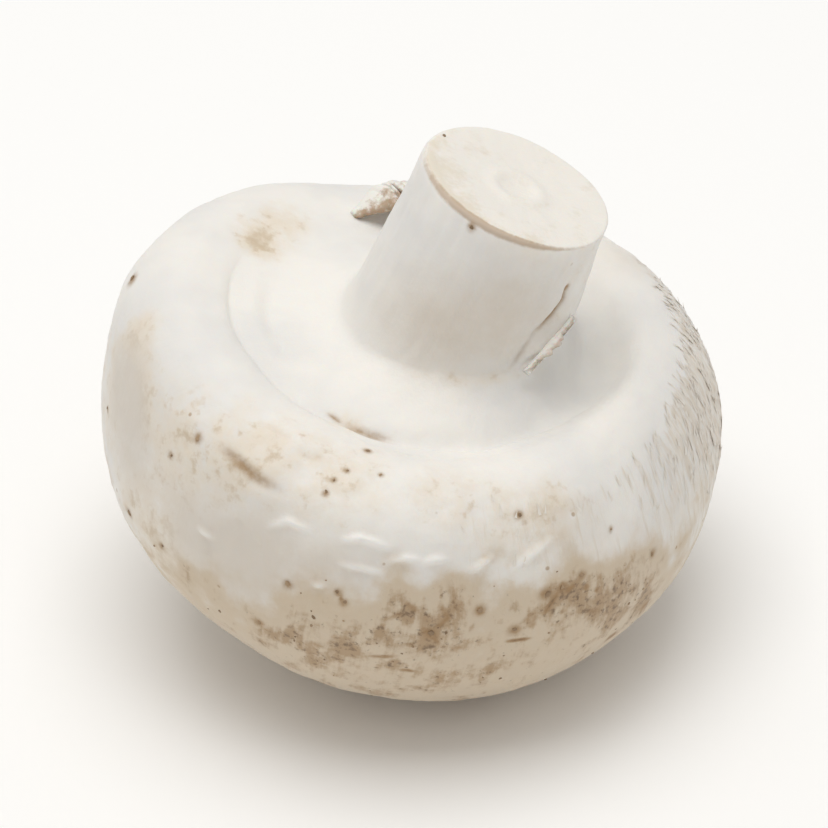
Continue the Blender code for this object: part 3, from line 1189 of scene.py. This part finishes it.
    def _set_down(self, form: bmesh.types.BMesh) -> None:
        """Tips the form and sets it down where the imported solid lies."""
        bmesh.ops.transform(form, matrix=self.growth.tip(), verts=form.verts)
        low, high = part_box(NODE)
        lowest = min(vertex.co.z for vertex in form.verts)
        sides = [[vertex.co[k] for vertex in form.verts] for k in range(2)]
        shift = [(low[k] + high[k] - min(side) - max(side)) / 2 for k, side in enumerate(sides)]
        home = Matrix.Translation((*shift, low.z - lowest - self.growth.flat_depth))
        bmesh.ops.transform(form, matrix=home, verts=form.verts)
        for vertex in form.verts:
            vertex.co.z = max(vertex.co.z, 0.0)

    def _margin_groove(self, spread: Spread, marks: Landmarks) -> np.ndarray:
        """The step down from the margin into the veil: steep on its outer side, and shallow on its inner.

        Args:
            spread: the vertices.
            marks: where the outline changes.

        Returns:
            The depth, from 0 to 1.
        """
        carving = self.carving
        front = np.maximum(spread.sector(-92, 40), 0.95 * spread.sector(-60, 30))
        inward = carving.groove_inward * front
        wander = carving.groove_wander * spread.cloud(carving.groove_pitch, 11.3, 2)
        away = spread.along - marks.margin - inward - wander
        inner = 0.0004 + 0.0008 * spread.sector(-85, 45)
        outer = 0.00028 + 0.0004 * spread.sector(-165, 50)
        fall = np.where(away < 0, np.exp(-((away / outer) ** 2)), np.exp(-((away / inner) ** 2)))
        crisp = np.maximum(spread.sector(-96, 46), 0.25 * spread.sector(-165, 34))
        return fall * crisp

    def _relief(self, spread: Spread, marks: Landmarks) -> np.ndarray:
        """How far each vertex is raised off the grown form.

        Args:
            spread: the vertices.
            marks: where the outline changes.

        Returns:
            The heights, in metres.
        """
        carving = self.carving
        skin = 1 - rise_over(marks.top - 0.0002, marks.top + 0.0002, spread.along)
        cap = 1 - rise_over(marks.margin, marks.margin + 0.001, spread.along)
        height = carving.swell * spread.cloud(carving.swell_pitch, 3.1) * skin
        height += carving.grain * spread.cloud(carving.grain_pitch, 7.7, 2) * skin
        height -= carving.groove * self._margin_groove(spread, marks)
        height += carving.lip * spread.band(marks.margin + 0.0016, 0.0006) * spread.sector(-178, 22)
        height += carving.pocket_fill * spread.near(carving.pocket_place, carving.pocket_reach)
        height -= carving.channel * spread.band(marks.margin + 0.0026, 0.0004) * spread.sector(-174, 20)
        height += carving.shelf * spread.band(marks.widest + 0.0085, 0.0021) * spread.sector(-112, 44)
        dented = spread.band(marks.widest + 0.0105, 0.0035) * spread.sector(-122, 34)
        height += carving.dent * dented * spread.cloud(carving.dent_pitch, 31.0, 2)
        for fold in self.folds:
            height += fold.height * MM * spread.near_path(fold.path, fold.breadth)
        scales = spread.threads(0.022, 0.0016, 5.0) + 0.5 * spread.threads(0.012, 0.0010, 9.0)
        height += carving.scale * self._scaliness(spread, marks) * scales * cap
        stem = rise_over(marks.foot, marks.foot + 0.001, spread.along) * skin
        height += carving.stem_fibre * stem * spread.threads(0.13, 0.012, 2.0)
        return height + self._cut_relief(spread, marks)

    def _cut_relief(self, spread: Spread, marks: Landmarks) -> np.ndarray:
        """The dished cut, with the small hollow at its middle.

        Args:
            spread: the vertices.
            marks: where the outline changes.

        Returns:
            The heights, in metres.
        """
        out = (marks.middle - spread.along) / (marks.middle - marks.top)
        face = rise_over(0.0, 0.06, 1 - out) * (spread.along > marks.top)
        dish = self.carving.dish * (1 - rise_over(0.1, 1.0, out))
        ring = self.carving.ring * np.exp(-(((out - 0.25) / 0.08) ** 2))
        hollow = self.carving.hollow * np.exp(-((out / 0.13) ** 2))
        grit = self.carving.grit * spread.cloud(self.carving.grit_pitch, 5.5, 4)
        return face * (ring - hollow - dish + grit)

    def _scaliness(self, spread: Spread, marks: Landmarks) -> np.ndarray:
        """How scaly and fibrous the skin is, from 0 to 1.

        Its upper edge on the cap's flank is a ragged fringe, and it fades out below the widest place.

        Args:
            spread: the vertices.
            marks: where the outline changes.

        Returns:
            The scaliness.
        """
        sway = self.carving.fringe_sway * np.sin(3 * spread.azimuth)
        tatter = self.carving.fringe_tatter * spread.threads(0.03, 0.02, 21.0)
        top = marks.widest + (self.carving.fringe + sway + tatter)
        flank = 1 - rise_over(-0.0006, 0.0004, spread.along - top)
        flank = flank * rise_over(marks.widest - 0.004, marks.widest + 0.003, spread.along)
        side = np.maximum(spread.sector(0, 48), 0.55 * spread.sector(-62, 30))
        all_round = 0.28 * rise_over(marks.widest - 0.014, marks.widest - 0.002, spread.along)
        all_round = all_round * (1 - rise_over(marks.widest + 0.004, marks.widest + 0.010, spread.along))
        return np.clip(np.maximum(flank * side, all_round), 0, 1)

    def _even_poles(self, form: bmesh.types.BMesh, spread: Spread, marks: Landmarks) -> None:
        """Evens out the two small areas where hundreds of thin faces meet.

        Args:
            form: the mesh.
            spread: its vertices, as they were before.
            marks: where the outline changes.
        """
        away = np.minimum(spread.along, marks.middle - spread.along)
        near = [vertex for vertex, length in zip(form.verts, away) if length < self.carving.pole_reach]
        relax(form, near, self.carving.pole_passes)

    def _soften(self, form: bmesh.types.BMesh, spread: Spread, marks: Landmarks) -> None:
        """Rounds the corner where the veil meets the stem, broadly on one side and tightly on the other.

        Args:
            form: the mesh.
            spread: its vertices, as they were before.
            marks: where the outline changes.
        """
        away = np.abs(spread.along - marks.foot)
        broad = (away < self.carving.broad_reach) & (spread.sector(165, 62) > 0.35)
        tight = away < self.carving.tight_reach
        for chosen, passes in ((broad, self.carving.broad_passes), (tight, self.carving.tight_passes)):
            relax(form, [vertex for vertex, wanted in zip(form.verts, chosen) if wanted], passes)

    def _paint(self, mesh: bpy.types.Mesh, spread: Spread, marks: Landmarks) -> None:
        """Paints the fields that the finish reads.

        Args:
            mesh: the finished mesh.
            spread: its vertices.
            marks: where the outline changes.
        """
        opened = np.clip(np.minimum(spread.along / 0.003, (marks.middle - spread.along) / 0.008), 0, 1)
        turned = [opened * np.cos(spread.azimuth), opened * np.sin(spread.azimuth), spread.along * 5.5]
        grain = np.stack(turned, axis=1)
        layer = mesh.attributes.new(Paint.GRAIN.value, "FLOAT_VECTOR", "POINT")
        layer.data.foreach_set("vector", grain.astype(np.float32).ravel())
        fields = {
            Paint.WARM: self._warmth(spread, marks),
            Paint.STAIN_AND_SHADE: self._stain_and_shade(spread, marks),
            Paint.FIBRE: self._scaliness(spread, marks),
            Paint.GROOVE: self._groove(spread, marks),
            Paint.PAINTED_SHADE: spread.patched(self.painted_shade_patches),
            Paint.PALE: self._crest_highlights(spread),
            Paint.CUT: self._cut_tone(spread, marks),
            Paint.CUT_EDGE: self._cut_edge(spread, marks),
        }
        for paint, numbers in fields.items():
            layer = mesh.attributes.new(paint.value, "FLOAT", "POINT")
            layer.data.foreach_set("value", np.clip(numbers, 0, 2).astype(np.float32))

    def _warmth(self, spread: Spread, marks: Landmarks) -> np.ndarray:
        """Where the skin is warmer in tone, from 0 to 1: yellowed skin, painted shade on the stem's right
        front, and a painted reflection low on the left.
        """
        patches = spread.patched(self.warm_patches)
        outer = 1 - rise_over(marks.widest + 0.002, marks.widest + 0.009, spread.along)
        foot = 0.55 * spread.band(marks.foot - 0.0003, 0.0007) * spread.sector(-80, 34)
        # Painted shade: the stem warmer and darker towards its right front.
        stem = rise_over(marks.foot, marks.foot + 0.002, spread.along) * spread.sector(-45, 60)
        return patches + 0.22 * outer + 0.2 * self._scaliness(spread, marks) + foot + 0.3 * stem

    def _stain_and_shade(self, spread: Spread, marks: Landmarks) -> np.ndarray:
        """Soil stains in patches, and a tan that deepens towards the bottom and most at the front, partly
        soil stains and partly painted shade, from 0 to 1.
        """
        patches = spread.patched(self.stain_patches)
        turn = np.degrees(spread.azimuth)
        places = (-180, -140, -120, -106, -88, -62, -38, -24, 20, 180)
        line = np.interp((turn + 180) % 360 - 180, places, (-4, -4.5, -1.6, 2, 5, 5, 3.6, 2, -1, -4)) * MM
        line = line + 0.0034 * spread.cloud(0.0034, 41.0, 3)
        # Tan deepening towards the bottom and most at the front: partly soil stains, partly painted shade.
        below = 1 - rise_over(-0.0062, 0.0034, spread.along - marks.widest - line)
        front = 0.49 + 0.42 * spread.sector(-88, 60)
        return patches * 0.85 + below * front

    def _groove(self, spread: Spread, marks: Landmarks) -> np.ndarray:
        """Where the skin is browned, from 0 to 1: soil along strokes, about grains and along the margin,
        and in the creases soiling and painted shade.
        """
        found = np.zeros(len(spread.places))
        for fold in self.folds + self.strokes:
            if fold.browning:
                found = np.maximum(found, fold.browning * spread.near_path(fold.path, 0.8 * fold.breadth))
        for place, size in GRAINS:
            found = np.maximum(found, 0.75 * spread.near(place, 2.0 * size))
        return found + 0.14 * self._margin_groove(spread, marks) * spread.sector(-112, 26)

    def _crest_highlights(self, spread: Spread) -> np.ndarray:
        """Where wrinkles stand up, painted paler as a painted highlight of the light they catch, from 0 to
        1.
        """
        found = np.zeros(len(spread.places))
        for fold in self.folds:
            if fold.height > 0.2:
                found = np.maximum(found, spread.near_path(fold.path, 0.75 * fold.breadth))
        return found

    def _cut_tone(self, spread: Spread, marks: Landmarks) -> np.ndarray:
        """How browned the cut flesh is: 0 off the cut, and from 0.6 to 1.2 over it."""
        on_cut = rise_over(marks.top + 0.0001, marks.top + 0.0004, spread.along)
        out = (marks.middle - spread.along) / (marks.middle - marks.top)
        left = spread.sector(-150, 70) * rise_over(0.25, 0.8, out)
        rind = spread.sector(-160, 60) * rise_over(0.80, 0.95, out)
        return on_cut * (0.60 + 0.35 * left + 0.4 * rind)

    def _cut_edge(self, spread: Spread, marks: Landmarks) -> np.ndarray:
        """The thin browned line around the cut, from 0 to 1."""
        return spread.band(marks.top + 0.0002, 0.00026) * (0.25 + 0.9 * spread.sector(-115, 55))


# What stands off the skin ---------------------------------------------------------------------------


def dress(
    mesh_form: bmesh.types.BMesh,
    name: str,
    material: bpy.types.Material,
    edge: str | None = None,
    smooth: bool = True,
) -> bpy.types.Object:
    """Makes a named object of a finished form.

    Args:
        mesh_form: the form, which is freed.
        name: the object's name.
        material: its material.
        edge: the vertex layer that holds how near its edge each point is, or None.
        smooth: whether its faces are shaded as one smooth surface.

    Returns:
        The object, in the scene.
    """
    numbers = None
    if edge:
        layer = mesh_form.verts.layers.float[edge]
        numbers = [vertex[layer] for vertex in mesh_form.verts]
        mesh_form.verts.layers.float.remove(layer)
    mesh = bpy.data.meshes.new(name)
    mesh_form.to_mesh(mesh)
    mesh_form.free()
    if numbers is not None:
        painted = mesh.attributes.new(Paint.CUT_EDGE.value, "FLOAT", "POINT")
        painted.data.foreach_set("value", numbers)
    if smooth:
        mesh.shade_smooth()
    mesh.materials.append(material)
    made = bpy.data.objects.new(name, mesh)
    bpy.context.scene.collection.objects.link(made)
    return made


@dataclass(frozen=True)
class VeilScrap:
    """A scrap of torn veil that stands on the flesh along a few points, curled and ragged.

    Its foot, height and thickness are in millimetres, and its curl is in radians.
    """

    name: str
    foot: tuple[Point, ...]
    rise: Point
    curl: float
    height: float
    thickness: float
    raggedness: float
    finish: ScrapFinish
    seed: float = 0.0
    columns: int = 36
    rows: int = 14

    def build(self) -> bpy.types.Object:
        """Shapes the scrap from a grid.

        Returns:
            The object.
        """
        form = bmesh.new()
        edge = form.verts.layers.float.new("edge")
        bmesh.ops.create_grid(form, x_segments=self.columns, y_segments=self.rows, size=0.5)
        up = Vector(self.rise).normalized()
        for vertex in form.verts:
            across = vertex.co.x + 0.5
            share = vertex.co.y + 0.5
            vertex.co = self._placed(across, share, up)
            vertex[edge] = share
        bmesh.ops.recalc_face_normals(form, faces=form.faces)
        bmesh.ops.solidify(form, geom=form.faces, thickness=self.thickness * MM)
        bmesh.ops.remove_doubles(form, verts=form.verts, dist=1e-7)
        bmesh.ops.recalc_face_normals(form, faces=form.faces)
        return dress(form, self.name, self.finish.material(self.name), "edge")

    def _placed(self, across: float, share: float, up: Vector) -> Vector:
        """Where a point of the flat scrap goes.

        Args:
            across: how far it is along the foot, from 0 to 1.
            share: how far it is up the scrap, from 0 to 1.
            up: the way that the scrap rises.

        Returns:
            The point, in metres.
        """
        steps = len(self.foot) - 1
        stretch = min(int(across * steps), steps - 1)
        local = across * steps - stretch
        start = Vector(self.foot[stretch])
        end = Vector(self.foot[stretch + 1])
        root = start.lerp(end, smooth_step(0, 1, local) * 0.4 + local * 0.6)
        outward = up.cross(Vector(self.foot[-1]) - Vector(self.foot[0])).normalized()
        tall = math.sin(math.pi * min(1.0, max(0.0, 0.04 + 0.92 * across))) ** 0.8
        ragged = 1 + self.raggedness * noise.fractal(Vector((across * 7, self.seed, 0)), 1.0, 2.0, 3)
        reach = self.height * tall * ragged * share
        bend = self.curl * share * share
        wave = 0.10 * self.height * noise.noise(Vector((across * 5, share * 2, self.seed + 9)))
        place = root + up * reach * math.cos(bend) + outward * (reach * math.sin(bend) + wave * share)
        return place * MM


@dataclass(frozen=True)
class Fibrils:
    """The fine scales that lie along the skin of the rim and stand off it a little at their tips.

    Length, breadth and thickness are in millimetres, and lift is a share of the length.
    """

    growth: Growth
    finish: FibrilFinish
    count: int = 440
    length: tuple[float, float] = (0.5, 1.5)
    breadth: float = 0.30
    thickness: float = 0.04
    lift: float = 0.025
    stray: float = 0.22
    seed: int = 4

    def build(self, whole: bpy.types.Object, surface: BVHTree) -> bpy.types.Object:
        """Lays the fibrils where the mushroom's mesh is painted scaly.

        Args:
            whole: the mushroom.
            surface: its surface.

        Returns:
            The object that holds them all.
        """
        chance = Random(self.seed)
        form = bmesh.new()
        edge = form.verts.layers.float.new("edge")
        mesh = whole.data
        scaly = painted_numbers(mesh, Paint.FIBRE)
        clean = np.clip(1 - 4 * painted_numbers(mesh, Paint.STAIN_AND_SHADE), 0, 1)
        total = np.cumsum(np.clip(scaly - 0.3, 0, 1) ** 2 * clean)
        axis = self.growth.tip().to_3x3() @ Vector((0, 0, 1))
        pattern = self._pattern()
        for _ in range(self.count):
            found = int(np.searchsorted(total, chance.random() * total[-1]))
            form.from_mesh(pattern)
            form.verts.ensure_lookup_table()
            fibril = form.verts[-len(pattern.vertices) :]
            self._lay(fibril, edge, surface, mesh.vertices[found].co, axis, chance)
        bpy.data.meshes.remove(pattern)
        return dress(form, "skin_fibrils", self.finish.material(), "edge", smooth=False)

    def _pattern(self) -> bpy.types.Mesh:
        """One straight fibril of unit length along Z, which every fibril copies.

        Returns:
            The mesh.
        """
        form = bmesh.new()
        bmesh.ops.create_cone(form, cap_ends=True, segments=5, radius1=0.5, radius2=0.06, depth=1.0)
        sides = [edge for edge in form.edges if abs(edge.verts[0].co.z - edge.verts[1].co.z) > 0.5]
        bmesh.ops.subdivide_edges(form, edges=sides, cuts=2)
        bmesh.ops.recalc_face_normals(form, faces=form.faces)
        pattern = bpy.data.meshes.new("fibril_pattern")
        form.to_mesh(pattern)
        form.free()
        return pattern

    def _lay(
        self,
        fibril: list[bmesh.types.BMVert],
        edge: bmesh.types.BMLayerItem,
        surface: BVHTree,
        place: Vector,
        axis: Vector,
        chance: Random,
    ) -> None:
        """Lays one fibril on the skin.

        Args:
            fibril: its vertices, still straight up.
            edge: the layer that takes how near the tip each point is.
            surface: the mushroom's surface.
            place: where its root is.
            axis: the cap's axis, towards its rim.
            chance: where its random draws come from.
        """
        root, normal, _, _ = surface.find_nearest(place)
        run = (axis - normal * axis.dot(normal)).normalized()
        run = (run + normal.cross(run) * chance.gauss(0, self.stray)).normalized()
        turn = Matrix((normal.cross(run), run, normal)).transposed()
        length = chance.uniform(*self.length) * MM
        lift = abs(chance.gauss(0, self.lift))
        for vertex in fibril:
            share = vertex.co.z + 0.5
            raised = vertex.co.y * self.thickness * MM + length * lift * share * share
            vertex[edge] = share
            vertex.co = root + turn @ Vector((vertex.co.x * self.breadth * MM, length * share, raised))


@dataclass(frozen=True)
class SoilGrains:
    """Grains of casing soil: some where they are plain to see, and the rest strewn where it stained.

    Sizes are in millimetres.
    """

    finish: SoilFinish
    strewn: int = 90
    plain_share: float = 0.72
    smallest: float = 0.07
    spare: float = 0.16
    seed: int = 11

    def build(self, whole: bpy.types.Object, surface: BVHTree) -> bpy.types.Object:
        """Sets the grains into the skin.

        Args:
            whole: the mushroom.
            surface: its surface.

        Returns:
            The object that holds them all.
        """
        chance = Random(self.seed)
        form = bmesh.new()
        for place, size in GRAINS:
            self._set(form, surface, Vector(place) * MM, self.plain_share * size * MM, chance)
        mesh = whole.data
        stained = painted_numbers(mesh, Paint.STAIN_AND_SHADE)
        total = np.cumsum(np.where(stained > 0.2, stained**2, 0.0))
        for _ in range(self.strewn):
            found = int(np.searchsorted(total, chance.random() * total[-1]))
            size = self.smallest + self.spare * chance.random() ** 3
            self._set(form, surface, mesh.vertices[found].co, size * MM, chance)
        return dress(form, "casing_soil_grains", self.finish.material(), smooth=False)

    @staticmethod
    def _set(form: bmesh.types.BMesh, surface: BVHTree, place: Vector, size: float, chance: Random) -> None:
        """Sets one grain half into the skin.

        Args:
            form: the mesh that it joins.
            surface: the mushroom's surface.
            place: about where it sits.
            size: its radius, in metres.
            chance: where its random draws come from.
        """
        found, normal, _, _ = surface.find_nearest(place)
        made = bmesh.ops.create_icosphere(form, subdivisions=1, radius=size)["verts"]
        spin = Matrix.Rotation(chance.uniform(0, math.tau), 3, "Z")
        turn = normal.to_track_quat("Z", "Y").to_matrix() @ spin
        long = chance.uniform(0.8, 1.5)
        for vertex in made:
            rough = 1 + 0.35 * chance.uniform(-1, 1)
            shape = Vector((vertex.co.x * long * rough, vertex.co.y * rough, 0.5 * vertex.co.z * rough))
            vertex.co = found + turn @ shape


# The studio -----------------------------------------------------------------------------------------


@dataclass(frozen=True)
class Studio:
    """The floor, the lights and the camera."""

    elevation: float = math.radians(35)
    distance: float = 0.5
    sensor: float = 36.0
    frame_width: float = 0.0658
    aim: Point = (0.00017, 0.0003, 0.0186)
    floor_size: float = 3.0
    daylight: float = 0.53
    daylight_colour: Colour = (1.0, 0.99, 0.97)
    key_place: Point = (-0.06, 0.0, 0.75)
    key_size: float = 0.6
    key_power: float = 3.22
    key_colour: Colour = (1.0, 0.99, 0.97)

    def camera(self) -> bpy.types.Object:
        """Sets up the camera.

        Returns:
            The camera.
        """
        made = bpy.data.objects.new("camera", bpy.data.cameras.new("camera"))
        bpy.context.scene.collection.objects.link(made)
        made.data.sensor_width = self.sensor
        made.data.lens = self.sensor * self.distance / self.frame_width
        made.data.clip_start = 0.01
        back = Vector((0, -math.cos(self.elevation), math.sin(self.elevation)))
        made.location = Vector(self.aim) + back * self.distance
        made.rotation_euler = back.to_track_quat("Z", "Y").to_euler()
        bpy.context.scene.camera = made
        return made

    def floor(self) -> bpy.types.Object:
        """Lays the floor.

        Returns:
            The floor.
        """
        form = bmesh.new()
        bmesh.ops.create_grid(form, x_segments=2, y_segments=2, size=self.floor_size / 2)
        made = dress(form, "floor", FloorFinish().material())
        return made

    def light(self) -> None:
        """Sets up the pale surround and the soft lights."""
        world = bpy.data.worlds.new("daylight")
        bpy.context.scene.world = world
        world.use_nodes = True
        sky = world.node_tree.nodes["Background"]
        sky.inputs["Color"].default_value = (*self.daylight_colour, 1.0)
        sky.inputs["Strength"].default_value = self.daylight
        self._area("key", self.key_place, self.key_size, self.key_power)
        bpy.context.scene.view_settings.view_transform = "Standard"

    def _area(self, name: str, place: Point, size: float, power: float) -> None:
        """Hangs one soft square light, turned to the mushroom.

        Args:
            name: the light's name.
            place: where it hangs.
            size: its side.
            power: its power in watts.
        """
        lamp = bpy.data.lights.new(name, "AREA")
        lamp.size = size
        lamp.energy = power
        lamp.color = self.key_colour
        made = bpy.data.objects.new(name, lamp)
        made.location = place
        made.rotation_euler = (Vector(place) - Vector(self.aim)).to_track_quat("Z", "Y").to_euler()
        bpy.context.scene.collection.objects.link(made)


# Putting it together --------------------------------------------------------------------------------


def attach(piece: bpy.types.Object) -> None:
    """Makes a piece part of the mushroom, and reports it."""
    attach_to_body(piece, BODY)
    LOG.info("%s: %d faces", piece.name, len(piece.data.polygons))


def main() -> None:
    """Builds the studio, then the mushroom, then what stands off it."""
    logging.basicConfig(level=logging.INFO, format="%(name)s: %(message)s")
    studio = Studio()
    studio.camera()
    studio.floor()
    studio.light()
    growth = Growth()
    whole, surface = Mushroom(growth, Fineness(), SkinFinish()).build()
    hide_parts(NODE)
    attach(whole)
    scraps = (
        VeilScrap(
            "torn_veil_lip",
            (
                (12.4, -4.8, 31.5),
                (11.5, -6.0, 31.0),
                (10.5, -6.9, 30.3),
                (9.5, -7.7, 29.4),
                (8.6, -8.2, 28.6),
            ),
            rise=(0.25, -0.35, 0.90),
            curl=0.9,
            height=1.0,
            thickness=0.55,
            raggedness=0.95,
            finish=ScrapFinish(browning=0.55),
            seed=3.0,
        ),
        VeilScrap(
            "torn_veil_flake",
            ((-4.8, 14.0, 28.2), (-3.6, 15.4, 28.1), (-2.2, 16.4, 27.9), (-0.8, 17.0, 27.7)),
            rise=(0.10, 0.2, 0.97),
            curl=-1.2,
            height=3.7,
            thickness=0.32,
            raggedness=0.5,
            finish=ScrapFinish(browning=0.9),
            seed=6.0,
        ),
    )
    for scrap in scraps:
        attach(scrap.build())
    attach(Fibrils(growth, FibrilFinish()).build(whole, surface))
    attach(SoilGrains(SoilFinish()).build(whole, surface))


if __name__ == "__main__":
    main()
